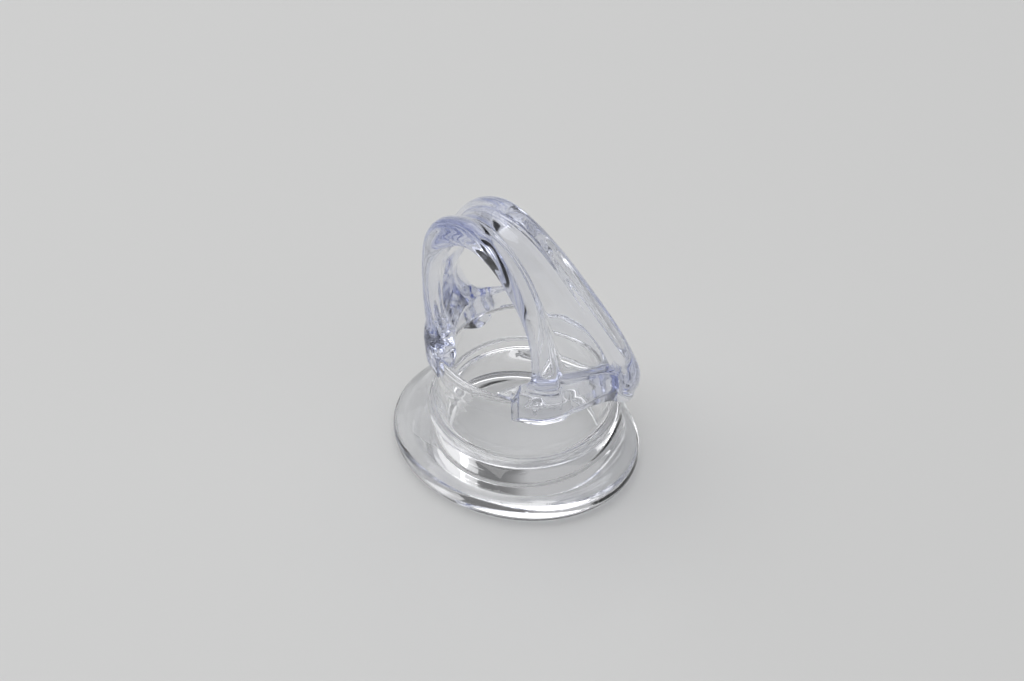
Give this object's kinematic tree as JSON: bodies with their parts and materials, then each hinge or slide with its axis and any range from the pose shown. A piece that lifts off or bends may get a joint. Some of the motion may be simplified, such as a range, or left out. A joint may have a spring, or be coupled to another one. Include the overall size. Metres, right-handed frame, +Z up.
{
  "type": "cheek retractor",
  "caption": "Clear plastic cheek retractor: a leaning arch with an open mouth, a channel and flared lobes, on a round collar and an oval flange.",
  "frame": {"origin": "middle of the flange's underside, on the surface that it rests on", "axes": "+Z up; +X across the retractor, which is the same on both sides of x = 0; +Y to the back, so the mouth faces -Y"},
  "size_m": [0.053, 0.046, 0.0676],
  "materials": {
    "clear_plastic": "clear, polished",
    "blue_clear_plastic": "clear with a faint blue tint, polished"
  },
  "bodies": {
    "root": {"base_flange": "clear_plastic", "collar": "clear_plastic", "retractor_arch": "blue_clear_plastic"}
  },
  "joints": []
}
